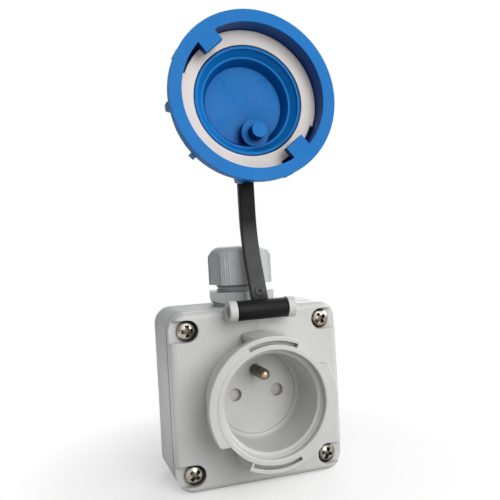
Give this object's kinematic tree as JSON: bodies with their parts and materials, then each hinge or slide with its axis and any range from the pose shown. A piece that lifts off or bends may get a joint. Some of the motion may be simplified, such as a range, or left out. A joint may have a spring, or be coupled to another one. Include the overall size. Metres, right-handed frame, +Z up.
{
  "type": "surface-mounted industrial socket outlet",
  "caption": "Grey surface-mounted industrial socket: square box, bayonet collar round a recessed earth-pin outlet, blue twist-lock lid held open on a hinged strap, cable gland on top.",
  "frame": {"origin": "centre of the box's back face, on the wall plane", "axes": "+X right seen from the front, +Y into the wall, +Z up; the socket faces -Y"},
  "size_m": [0.075, 0.0546, 0.1973],
  "materials": {
    "cover_grey": "fine satin moulded light grey",
    "box_grey": "fine satin moulded grey",
    "gland_grey": "satin moulded mid grey",
    "shutter_white": "satin moulded off-white",
    "lid_blue": "semi-gloss moulded blue",
    "strap_black": "matt black rubber",
    "seal_white": "matt off-white sealing rubber",
    "seal_black": "matt dark sealing rubber",
    "screw_steel": "nickel-plated steel",
    "contact_brass": "drawn brass"
  },
  "bodies": {
    "housing": {"back_box": "box_grey", "box_seal": "seal_black", "front_cover": "cover_grey", "cover_screws": "screw_steel", "recess_plate": "cover_grey", "contact_block": "box_grey", "insert_screws": "screw_steel", "live_contact": "contact_brass", "neutral_contact": "contact_brass", "earth_pin": "contact_brass", "earth_terminal": "contact_brass", "terminal_screws": "screw_steel", "shutter_spring": "screw_steel", "hinge_pin": "screw_steel", "gland_washer": "gland_grey", "gland_body": "gland_grey", "gland_locknut": "gland_grey", "gland_claw": "gland_grey", "gland_seal": "seal_black", "gland_nut": "gland_grey"},
    "strap_lower": {"strap_lower": "strap_black"},
    "strap_upper": {"strap_upper": "strap_black"},
    "lid": {"lid": "lid_blue", "lid_seal": "seal_white", "strap_retainer": "strap_black"},
    "shutter": {"shutter": "shutter_white"}
  },
  "joints": [
    {"name": "strap_hinge", "type": "hinge", "parent": "housing", "child": "strap_lower", "pos_m": [0, -0.0426, 0.0374], "axis": [1, 0, 0], "range_deg": [0, 67.86]},
    {"name": "strap_flex", "type": "hinge", "parent": "strap_lower", "child": "strap_upper", "pos_m": [0, -0.03412, 0.06698], "axis": [1, 0, 0], "range_deg": [0, 116.64], "stiffness_Nm_per_rad": 0.08, "springref_deg": -8.59},
    {"name": "lid_turn", "type": "hinge", "parent": "strap_upper", "child": "lid", "pos_m": [0, -0.04953, 0.12476], "axis": [0, -0.9969, 0.0785], "range_deg": [0, 90]},
    {"name": "shutter_turn", "type": "hinge", "parent": "housing", "child": "shutter", "pos_m": [0, -0.02645, 0], "axis": [0, -1, 0], "range_deg": [0, 42], "stiffness_Nm_per_rad": 0.0008, "springref_deg": -28.65}
  ]
}
